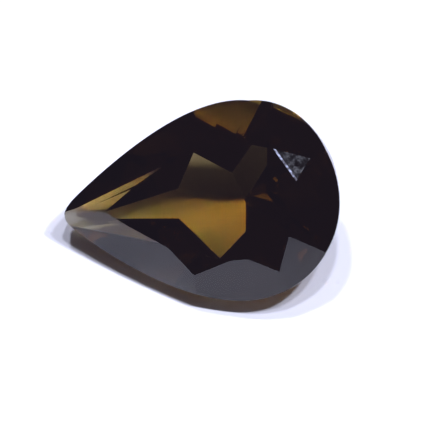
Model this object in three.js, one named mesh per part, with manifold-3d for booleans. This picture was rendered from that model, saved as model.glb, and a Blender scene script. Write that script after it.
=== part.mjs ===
// A pear cut smoky quartz: one faceted stone, lying tilted on a facet of its pavilion.
// Millimetres, +Z up, +X towards the round head, -Y towards the viewer, origin below the middle.
//
// The stone is cut in a frame of its own first. There the table faces +Z, z = 0 is the upper edge
// of the girdle, the middle of the head is at x = y = 0, the tip points to -X, and +Y is the side
// away from the viewer. Azimuths are measured in plan from +X towards +Y, and slopes from the table.
import * as THREE from 'three';
import { mergeVertices } from 'three/addons/utils/BufferGeometryUtils.js';
import Module from 'manifold-3d';

// Heights of the three zones
const CROWN_HEIGHT = 2.0;
const GIRDLE_HEIGHT = 0.4;
const PAVILION_DEPTH = 5.89;

// Girdle outline in plan: a quarter ellipse from the end of the head to the widest point of each
// side, and from there one curve to where the tip's rounding starts
const HEAD_END = new THREE.Vector2(6.13, -0.1);
const TIP = new THREE.Vector2(-12.36, 0.06);
const FAR_SIDE = { widest: [0.75, 6.53], shoulder: 0.5, tipPull: 11.9, tipAngle: 40, rounding: 1.8 };
const NEAR_SIDE = { widest: [-0.2, -6.49], shoulder: 4.7, tipPull: 3.05, tipAngle: -46, rounding: 1.1 };
const HEAD_STEPS = 24;
const SIDE_STEPS = 32;
const TIP_STEPS = 6;

// Crown: the corners of the table anticlockwise from the tip, each with what follows it along the
// table's edge: the low point of a star facet, or the slope of one facet down to the girdle. Where
// neither is given, that facet is as steep as it can be without cutting into the girdle.
const CROWN_RING = [
  { corner: [-9.05, 0], slope: 35.7 },
  { corner: [-7.05, -1.45], slope: 40.5 },
  { corner: [-5.1, -2.65], star: [-3.7, -4.6, 1.25] },
  { corner: [-1.1, -3.8] },
  { corner: [0.1, -3.8], star: [1.95, -4.75, 1.05] },
  { corner: [2.85, -2.5], star: [4.6, -1.35, 1.0] },
  { corner: [3.45, -0.05] },
  { corner: [3.6, 1.05], star: [4.55, 2.45, 1.25] },
  { corner: [2.25, 3.25], star: [2.0, 4.75, 1.1] },
  { corner: [-0.25, 3.9] },
  { corner: [-1.7, 3.9], star: [-3.6, 4.55, 1.15] },
  { corner: [-5.2, 2.55], slope: 41 },
  { corner: [-6.85, 1.6], slope: 27.5 },
];

// Pavilion: the main facets meet at the culet, and one break facet between each two mains touches
// the lower edge of the girdle. Both lists go anticlockwise, each break after the main beside it.
const CULET = [-0.36, 0.13];
const MAIN_FACETS = [
  { azimuth: 22, slope: 37.6 },
  { azimuth: 83.9, slope: 38.4 },
  { azimuth: 119.6, slope: 35.6 },
  { azimuth: 153, slope: 26.8 },
  { azimuth: -114, slope: 34 },
  { azimuth: -53.1, slope: 39 },
  { azimuth: -29.2, slope: 38.7 },
];
const BREAK_FACETS = [
  { azimuth: 42.3, slope: 45.7 },
  { azimuth: 97.3, slope: 44.5 },
  { azimuth: 127.6, slope: 43.3 },
  { azimuth: -121.9, slope: 45 },
  { azimuth: -84.9, slope: 45.2 },
  { azimuth: -44.3, slope: 47.4 },
  { azimuth: -6.4, slope: 41.4 },
];
const RESTING_FACET = MAIN_FACETS[4];

const CUTTER_SIZE = 60;
const UP = new THREE.Vector3(0, 0, 1);
const STONE_AXIS = new THREE.Vector3(-1, 0, -1);    // a point well inside the stone

const smokyQuartz = new THREE.MeshStandardMaterial({
  name: 'smoky_quartz',
  color: 0x4a3524,
  roughness: 0.04,
  metalness: 0,
});

const wasm = await Module();
wasm.setup();

// One quarter of the head, from its end to the widest point of one side
function headCurve({ widest: [x, y] }) {
  const length = HEAD_END.x - x;
  const width = y - HEAD_END.y;
  return new THREE.EllipseCurve(x, HEAD_END.y, length, width, 0, Math.PI / 2);
}

// One curved side of the outline, from its widest point to the start of the tip's rounding
function sideCurve({ widest: [x, y], shoulder, tipPull, tipAngle, rounding }) {
  const angle = THREE.MathUtils.degToRad(tipAngle);
  const fromTip = (distance) => new THREE.Vector2(
    TIP.x + distance * Math.cos(angle),
    TIP.y + distance * Math.sin(angle),
  );
  return new THREE.CubicBezierCurve(
    new THREE.Vector2(x, y),
    new THREE.Vector2(x - shoulder, y),
    fromTip(tipPull),
    fromTip(rounding),
  );
}

// The closed outline, anticlockwise: far side of the head, far side, rounded tip, near side
function girdleOutline() {
  const farHead = headCurve(FAR_SIDE).getPoints(HEAD_STEPS);
  const far = sideCurve(FAR_SIDE).getPoints(SIDE_STEPS);
  const near = sideCurve(NEAR_SIDE).getPoints(SIDE_STEPS).reverse();
  const nearHead = headCurve(NEAR_SIDE).getPoints(HEAD_STEPS).reverse();
  const tip = new THREE.QuadraticBezierCurve(far.at(-1), TIP, near[0]).getPoints(TIP_STEPS);
  return [farHead, far, tip, near, nearHead].flatMap((points) => points.slice(1));
}

const OUTLINE = girdleOutline();

// A facet's outward normal from its azimuth and slope, on the pavilion
function pavilionNormal({ azimuth, slope }) {
  const turn = THREE.MathUtils.degToRad(azimuth);
  const tilt = THREE.MathUtils.degToRad(slope);
  return new THREE.Vector3(
    Math.sin(tilt) * Math.cos(turn),
    Math.sin(tilt) * Math.sin(turn),
    -Math.cos(tilt),
  );
}

function mainFacet(facet) {
  const culet = new THREE.Vector3(...CULET, -GIRDLE_HEIGHT - PAVILION_DEPTH);
  return { normal: pavilionNormal(facet), point: culet };
}

// A break facet is moved in until it just touches the lower edge of the girdle
function breakFacet(facet) {
  const normal = pavilionNormal(facet);
  const edge = OUTLINE.map((p) => new THREE.Vector3(p.x, p.y, -GIRDLE_HEIGHT));
  const point = edge.reduce((best, p) => (p.dot(normal) > best.dot(normal) ? p : best));
  return { normal, point };
}

// The star facet under one edge of the table
function starFacet(corner, nextCorner, low) {
  const normal = new THREE.Plane().setFromCoplanarPoints(corner, low, nextCorner).normal;
  return { normal, point: corner };
}

// The two directions across an edge of the crown: level and outwards, and square to that and up
function acrossEdge(first, second) {
  const along = second.clone().sub(first).normalize();
  const outward = along.clone().cross(UP).normalize();
  if (first.clone().sub(STONE_AXIS).dot(outward) < 0) {
    outward.negate();
  }
  const rise = outward.clone().cross(along);
  if (rise.z < 0) {
    rise.negate();
  }
  return { outward, rise };
}

// The facet that leans outwards by a slope, in radians, through two points of the crown
function slopedFacet(first, second, slope) {
  const { outward, rise } = acrossEdge(first, second);
  const normal = outward.multiplyScalar(Math.sin(slope)).addScaledVector(rise, Math.cos(slope));
  return { normal, point: first };
}

// The steepest facet through two points of the crown that keeps the whole girdle edge
function fullFacet(first, second) {
  const { outward, rise } = acrossEdge(first, second);
  const slopes = OUTLINE
    .map((p) => new THREE.Vector3(p.x, p.y, 0).sub(first))
    .filter((reach) => reach.dot(outward) > 0)
    .map((reach) => Math.atan2(-reach.dot(rise), reach.dot(outward)));
  return slopedFacet(first, second, Math.min(...slopes));
}

// All crown facets below the table
function crownFacets() {
  const corners = CROWN_RING.map(({ corner }) => new THREE.Vector3(...corner, CROWN_HEIGHT));
  return CROWN_RING.flatMap(({ star, slope }, i) => {
    const corner = corners[i];
    const nextCorner = corners[(i + 1) % corners.length];
    if (slope) {
      return [slopedFacet(corner, nextCorner, THREE.MathUtils.degToRad(slope))];
    }
    if (!star) {
      return [fullFacet(corner, nextCorner)];
    }
    const low = new THREE.Vector3(...star);
    return [
      starFacet(corner, nextCorner, low),
      fullFacet(corner, low),
      fullFacet(nextCorner, low),
    ];
  });
}

// The uncut blank: the outline, as high as the crown, girdle and pavilion together
function blank() {
  const depth = CROWN_HEIGHT + GIRDLE_HEIGHT + PAVILION_DEPTH;
  const options = { depth, bevelEnabled: false, steps: 1 };
  const geometry = new THREE.ExtrudeGeometry(new THREE.Shape(OUTLINE), options);
  return geometry.translate(0, 0, CROWN_HEIGHT - depth);
}

// A block whose lower face lies in the facet's plane, with all of the block outside the stone
function cutter({ normal, point }) {
  const geometry = new THREE.BoxGeometry(CUTTER_SIZE, CUTTER_SIZE, CUTTER_SIZE);
  geometry.translate(0, 0, CUTTER_SIZE / 2);
  geometry.applyQuaternion(new THREE.Quaternion().setFromUnitVectors(UP, normal));
  return geometry.translate(point.x, point.y, point.z);
}

function toSolid(geometry) {
  geometry.deleteAttribute('normal');
  geometry.deleteAttribute('uv');
  const merged = mergeVertices(geometry, 1e-5);
  const mesh = new wasm.Mesh({
    numProp: 3,
    vertProperties: new Float32Array(merged.attributes.position.array),
    triVerts: new Uint32Array(merged.index.array),
  });
  return new wasm.Manifold(mesh);
}

function toGeometry(solid) {
  const mesh = solid.getMesh();
  const geometry = new THREE.BufferGeometry();
  geometry.setAttribute('position', new THREE.BufferAttribute(mesh.vertProperties, 3));
  geometry.setIndex(new THREE.BufferAttribute(mesh.triVerts, 1));
  geometry.computeVertexNormals();
  return geometry;
}

// The blank with every facet cut
function cutStone() {
  const facets = [...crownFacets(), ...MAIN_FACETS.map(mainFacet), ...BREAK_FACETS.map(breakFacet)];
  const cut = (solid, facet) => solid.subtract(toSolid(cutter(facet)));
  return toGeometry(facets.reduce(cut, toSolid(blank())));
}

// Turn the stone onto its resting facet, its long axis along X, and put its box on the origin
function layDown(stone) {
  const up = pavilionNormal(RESTING_FACET).negate();
  const ahead = new THREE.Vector3(1, 0, 0).projectOnPlane(up).normalize();
  const aside = up.clone().cross(ahead);
  const turned = new THREE.Matrix4().makeBasis(ahead, aside, up).invert();
  stone.quaternion.setFromRotationMatrix(turned);
  stone.updateMatrixWorld();
  const box = new THREE.Box3().setFromObject(stone, true);
  const middle = box.getCenter(new THREE.Vector3());
  stone.position.set(-middle.x, -middle.y, -box.min.z);
}

const stone = new THREE.Mesh(cutStone(), smokyQuartz);
stone.name = 'pear_cut_stone';
layDown(stone);

const part = new THREE.Group();
part.add(stone);

export default part;
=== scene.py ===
import math

import bmesh
import bpy
from mathutils import Matrix, Vector


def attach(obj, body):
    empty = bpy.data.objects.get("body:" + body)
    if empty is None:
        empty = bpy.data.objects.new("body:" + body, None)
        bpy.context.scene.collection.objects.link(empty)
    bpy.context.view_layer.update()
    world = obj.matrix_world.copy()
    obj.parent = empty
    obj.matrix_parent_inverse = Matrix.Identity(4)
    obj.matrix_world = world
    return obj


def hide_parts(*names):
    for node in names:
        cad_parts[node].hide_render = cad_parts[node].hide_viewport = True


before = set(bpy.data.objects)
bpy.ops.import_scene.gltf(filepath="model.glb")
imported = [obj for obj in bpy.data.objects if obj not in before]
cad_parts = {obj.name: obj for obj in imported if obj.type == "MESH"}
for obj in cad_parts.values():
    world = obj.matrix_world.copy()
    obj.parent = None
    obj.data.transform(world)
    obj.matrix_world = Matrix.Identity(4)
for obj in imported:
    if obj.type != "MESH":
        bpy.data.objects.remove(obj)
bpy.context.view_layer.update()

# The photograph looks down on the stone's table from the near side, almost straight at it, with
# the stone turned a little in the picture. A long lens keeps the outline free of perspective.
MM = 0.001
PICTURE_WIDTH = 28.03 * MM
CAMERA_AIM = Vector((0.834, -0.997, 4.616)) * MM
CAMERA_AZIMUTH = -8.97
CAMERA_ELEVATION = 58.08
CAMERA_ROLL = 10.14
CAMERA_LENS = 1000
NEAREST_SEEN = 10 * MM


def direction(azimuth, elevation):
    """The direction from the object towards an azimuth, 0 at -Y and 90 at +X, and an elevation."""
    turn, rise = math.radians(azimuth), math.radians(elevation)
    return Vector((math.sin(turn) * math.cos(rise), -math.cos(turn) * math.cos(rise), math.sin(rise)))


def turned_to(towards, roll=0.0):
    """The turn that makes an object's -Z axis look against a direction, and its X axis level."""
    turn = towards.to_track_quat("Z", "Y").to_matrix().to_4x4()
    return turn @ Matrix.Rotation(math.radians(roll), 4, "Z")


camera = bpy.data.objects.new("camera", bpy.data.cameras.new("camera"))
bpy.context.scene.collection.objects.link(camera)
camera.data.lens = CAMERA_LENS
camera.data.clip_start = NEAREST_SEEN
camera_distance = PICTURE_WIDTH * CAMERA_LENS / camera.data.sensor_width
towards_camera = direction(CAMERA_AZIMUTH, CAMERA_ELEVATION)
camera_place = Matrix.Translation(CAMERA_AIM + towards_camera * camera_distance)
camera.matrix_world = camera_place @ turned_to(towards_camera, CAMERA_ROLL)
bpy.context.scene.camera = camera


# The surface under the stone: plain white card, matt and even. It lies a hair below the resting
# facet, so that the two faces don't coincide.
FLOOR_SIZE = 600 * MM
FLOOR_GAP = 0.02 * MM
FLOOR_WHITE = "#f4f3f5"
FLOOR_ROUGHNESS = 0.9
FLOOR_GLOSS = 0.1


def linear(colour):
    """An sRGB hex colour as a linear RGBA tuple."""
    channels = [int(colour[i:i + 2], 16) / 255 for i in (1, 3, 5)]
    return (*[c / 12.92 if c <= 0.04045 else ((c + 0.055) / 1.055) ** 2.4 for c in channels], 1.0)


bpy.ops.object.select_all(action="DESELECT")
bpy.ops.mesh.primitive_plane_add(size=FLOOR_SIZE, location=(0, 0, -FLOOR_GAP))
floor = bpy.context.object
floor.name = "white_card"

# White card: matt paper, so it takes the soft shadows and mirrors nothing
card = bpy.data.materials.new("white_card")
card.use_nodes = True
shader = card.node_tree.nodes["Principled BSDF"]
shader.inputs["Base Color"].default_value = linear(FLOOR_WHITE)
shader.inputs["Roughness"].default_value = FLOOR_ROUGHNESS
shader.inputs["Specular IOR Level"].default_value = FLOOR_GLOSS
floor.data.materials.append(card)


# The stone: one piece of clear smoky quartz, cut and polished. A copy of the CAD mesh is welded, its
# triangles are joined back into facets, and every edge between two facets gets a fine worn bevel.
WELD = 0.001 * MM
FLAT_WITHIN = math.radians(0.3)
EDGE_WEAR = 0.03 * MM
EDGE_STEPS = 2

cad_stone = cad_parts["pear_cut_stone"]
stone = bpy.data.objects.new("worn_stone", cad_stone.data.copy())
stone.matrix_world = cad_stone.matrix_world
bpy.context.scene.collection.objects.link(stone)
bpy.ops.object.select_all(action="DESELECT")
stone.select_set(True)
bpy.context.view_layer.objects.active = stone
bpy.ops.object.transform_apply(location=True, rotation=True, scale=True)
bpy.ops.object.mode_set(mode="EDIT")
bpy.ops.mesh.select_all(action="SELECT")
bpy.ops.mesh.remove_doubles(threshold=WELD)
bpy.ops.mesh.dissolve_limited(angle_limit=FLAT_WITHIN)

# One star facet beside the table is scuffed, and its edge along the table is chipped. A strip as
# wide as the chips is split off the facet along that edge, and each gets a finish of its own.
STAR_START = Vector((5.8, -0.36, 8.24)) * MM
STAR_END = Vector((4.22, 1.51, 9.06)) * MM
STAR_LOW_POINT = Vector((6.7, 1.23, 8.55)) * MM
CHIPS_WIDTH = 0.13 * MM
SCUFFED_FINISH, CHIPS_AND_PAINTED_SHADE_FINISH = 1, 2

mesh = bmesh.from_edit_mesh(stone.data)
star_middle = (STAR_START + STAR_END + STAR_LOW_POINT) / 3
star = min(mesh.faces, key=lambda face: (face.calc_center_median() - star_middle).length)
table_edge = (STAR_END - STAR_START).normalized()
inwards = STAR_LOW_POINT - STAR_START
inwards = (inwards - inwards.dot(table_edge) * table_edge).normalized()
split = bmesh.ops.bisect_plane(
    mesh,
    geom=[star, *star.edges, *star.verts],
    plane_co=STAR_START + inwards * CHIPS_WIDTH,
    plane_no=inwards,
)
for face in split["geom"]:
    if isinstance(face, bmesh.types.BMFace):
        depth = (face.calc_center_median() - STAR_START).dot(inwards)
        face.material_index = CHIPS_AND_PAINTED_SHADE_FINISH if depth < CHIPS_WIDTH else SCUFFED_FINISH
bmesh.update_edit_mesh(stone.data)

bpy.ops.mesh.select_all(action="SELECT")
bpy.ops.mesh.bevel(offset=EDGE_WEAR, segments=EDGE_STEPS, affect="EDGES", clamp_overlap=True)
bpy.ops.object.mode_set(mode="OBJECT")


def add(material, kind, links=None, **values):
    """A new node in a material, with values for its inputs and sockets linked to them."""
    new = material.node_tree.nodes.new(kind)
    for name, value in values.items():
        new.inputs[name.replace("_", " ")].default_value = value
    for name, socket in (links or {}).items():
        material.node_tree.links.new(socket, new.inputs[name])
    return new


# Clear smoky quartz, polished: the brown is only in the depth of the stone, so thin places are almost
# colourless, thick ones are amber, and the facets that reflect inside stay nearly black.
QUARTZ_IOR = 1.544
SMOKE = "#d6c671"
SMOKE_DENSITY = 430

quartz = bpy.data.materials.new("clear_smoky_quartz")
quartz.use_nodes = True
shader = quartz.node_tree.nodes["Principled BSDF"]
shader.inputs["Base Color"].default_value = (1, 1, 1, 1)
shader.inputs["Roughness"].default_value = 0.0
shader.inputs["IOR"].default_value = QUARTZ_IOR
shader.inputs["Transmission Weight"].default_value = 1.0
smoke = add(quartz, "ShaderNodeVolumeAbsorption", Color=linear(SMOKE), Density=SMOKE_DENSITY)
output = quartz.node_tree.nodes["Material Output"]
quartz.node_tree.links.new(smoke.outputs["Volume"], output.inputs["Volume"])

# Scuffed quartz: the same stone, worn matt in cloudy patches about half a millimetre across, with
# finer scratches, so that the facet catches a little of the lamps' light beside its dark neighbours.
CLOUDS_PER_MM = 2.2
SCRATCHES_PER_MM = 9
SCRATCH_DEPTH = 0.004 * MM
SCUFF_LOW, SCUFF_HIGH = 0.04, 0.2

scuffed = quartz.copy()
scuffed.name = "scuffed_smoky_quartz"
shader = scuffed.node_tree.nodes["Principled BSDF"]
place = add(scuffed, "ShaderNodeTexCoord").outputs["Object"]
clouds = add(
    scuffed, "ShaderNodeTexNoise", {"Vector": place},
    Scale=CLOUDS_PER_MM / MM, Detail=5.0, Roughness=0.7,
).outputs["Fac"]
scuffs = add(
    scuffed, "ShaderNodeMapRange", {"Value": clouds},
    From_Min=0.35, From_Max=0.65, To_Min=SCUFF_LOW, To_Max=SCUFF_HIGH,
).outputs["Result"]
scratches = add(
    scuffed, "ShaderNodeTexNoise", {"Vector": place},
    Scale=SCRATCHES_PER_MM / MM, Detail=3.0, Distortion=1.5,
).outputs["Fac"]
relief = add(
    scuffed, "ShaderNodeBump", {"Height": scratches},
    Strength=0.25, Distance=SCRATCH_DEPTH,
).outputs["Normal"]
scuffed.node_tree.links.new(scuffs, shader.inputs["Roughness"])
scuffed.node_tree.links.new(relief, shader.inputs["Normal"])

# Chipped quartz: small broken spots along the edge, about a fifth of a millimetre apart. They are
# rough and pale; between them the strip is opaque and painted dark, a painted shade for the dark
# polished stone.
CHIPS_PER_MM = 5
CHIP_DEPTH = 0.02 * MM
CHIP_COLOUR = "#aeb4c8"
# Painted shade: the dark look of the polished stone between the chips, put in as a colour
PAINTED_SHADE_BETWEEN_CHIPS = "#2b2630"
CHIP_ROUGHNESS = 0.6

chips_and_painted_shade = bpy.data.materials.new("chipped_quartz_and_painted_shade")
chips_and_painted_shade.use_nodes = True
shader = chips_and_painted_shade.node_tree.nodes["Principled BSDF"]
shader.inputs["IOR"].default_value = QUARTZ_IOR
shader.inputs["Roughness"].default_value = CHIP_ROUGHNESS
place = add(chips_and_painted_shade, "ShaderNodeTexCoord").outputs["Object"]
breaks = add(
    chips_and_painted_shade, "ShaderNodeTexNoise", {"Vector": place},
    Scale=CHIPS_PER_MM / MM, Detail=4.0, Roughness=0.6,
).outputs["Fac"]
chips = add(chips_and_painted_shade, "ShaderNodeMapRange", {"Value": breaks}, From_Min=0.46, From_Max=0.6)
relief = add(chips_and_painted_shade, "ShaderNodeBump", {"Height": breaks}, Strength=0.8, Distance=CHIP_DEPTH)
chips_and_painted_shade.node_tree.links.new(relief.outputs["Normal"], shader.inputs["Normal"])

# A mix node's two colours are its inputs 6 and 7, and the mixed colour is its output 2
# The strip's colour mixes the painted shade between the chips with the pale chips
chips_and_painted_shade_colour = add(chips_and_painted_shade, "ShaderNodeMix", {"Factor": chips.outputs["Result"]})
chips_and_painted_shade_colour.data_type = "RGBA"
chips_and_painted_shade_colour.inputs[6].default_value = linear(PAINTED_SHADE_BETWEEN_CHIPS)
chips_and_painted_shade_colour.inputs[7].default_value = linear(CHIP_COLOUR)
chips_and_painted_shade.node_tree.links.new(chips_and_painted_shade_colour.outputs[2], shader.inputs["Base Color"])

stone.data.materials[0] = quartz
stone.data.materials.append(scuffed)
stone.data.materials.append(chips_and_painted_shade)
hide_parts("pear_cut_stone")
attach(stone, "root")


# Light: a row of four small lamps overhead casts the fan of thin shadows, and one wide dim light above
# them fills the shadows a little. The stone doesn't mirror or pass that wide light, so the facets
# beside the dark room stay dark.
LAMP_HEIGHT = 500 * MM
LAMP_SIZE = 30 * MM
LAMP_COLOUR = "#e2e7ff"
FILL_SIZE = 700 * MM
FILL_HEIGHT = 550 * MM
FILL_BRIGHTNESS = 0.07
ROOM = "#261f29"


def lamp(name, lean, brightness):
    """A small round lamp overhead, facing the stone, as bright on the card as the brightness says."""
    towards = Vector((*lean, 1.0))
    data = bpy.data.lights.new(name, "AREA")
    data.shape = "DISK"
    data.size = LAMP_SIZE
    data.color = linear(LAMP_COLOUR)[:3]
    data.energy = brightness * math.pi * math.pi * LAMP_HEIGHT ** 2 * towards.length ** 3
    light = bpy.data.objects.new(name, data)
    bpy.context.scene.collection.objects.link(light)
    light.matrix_world = Matrix.Translation(towards * LAMP_HEIGHT) @ turned_to(towards)


lamp("lamp_left", (-0.21, 0.13), 0.36)
lamp("lamp_left_middle", (-0.053, -0.072), 0.365)
lamp("lamp_right_middle", (0.165, -0.105), 0.31)
lamp("lamp_right", (0.299, -0.114), 0.415)

fill = bpy.data.lights.new("fill", "AREA")
fill.shape = "DISK"
fill.size = FILL_SIZE
fill.energy = FILL_BRIGHTNESS * math.pi * math.pi * (FILL_HEIGHT ** 2 + (FILL_SIZE / 2) ** 2)
fill_light = bpy.data.objects.new("fill", fill)
bpy.context.scene.collection.objects.link(fill_light)
fill_light.location = (0, 0, FILL_HEIGHT)
fill_light.visible_glossy = False
fill_light.visible_transmission = False

room = bpy.data.worlds.new("dark_room")
room.use_nodes = True
room.node_tree.nodes["Background"].inputs["Color"].default_value = linear(ROOM)
bpy.context.scene.world = room


# The picture: the camera's own veil of stray light keeps the darkest facets just above black, and
# light is followed through as many facets inside the stone as it needs to get out again.
VEIL = (-0.009, -0.007, -0.011)
LIGHT_BOUNCES = 24

view = bpy.context.scene.view_settings
view.view_transform = "Standard"
view.use_curve_mapping = True
view.curve_mapping.black_level = VEIL
view.curve_mapping.update()

cycles = bpy.context.scene.cycles
cycles.max_bounces = LIGHT_BOUNCES
cycles.transmission_bounces = LIGHT_BOUNCES
cycles.sample_clamp_indirect = 0
cycles.blur_glossy = 0
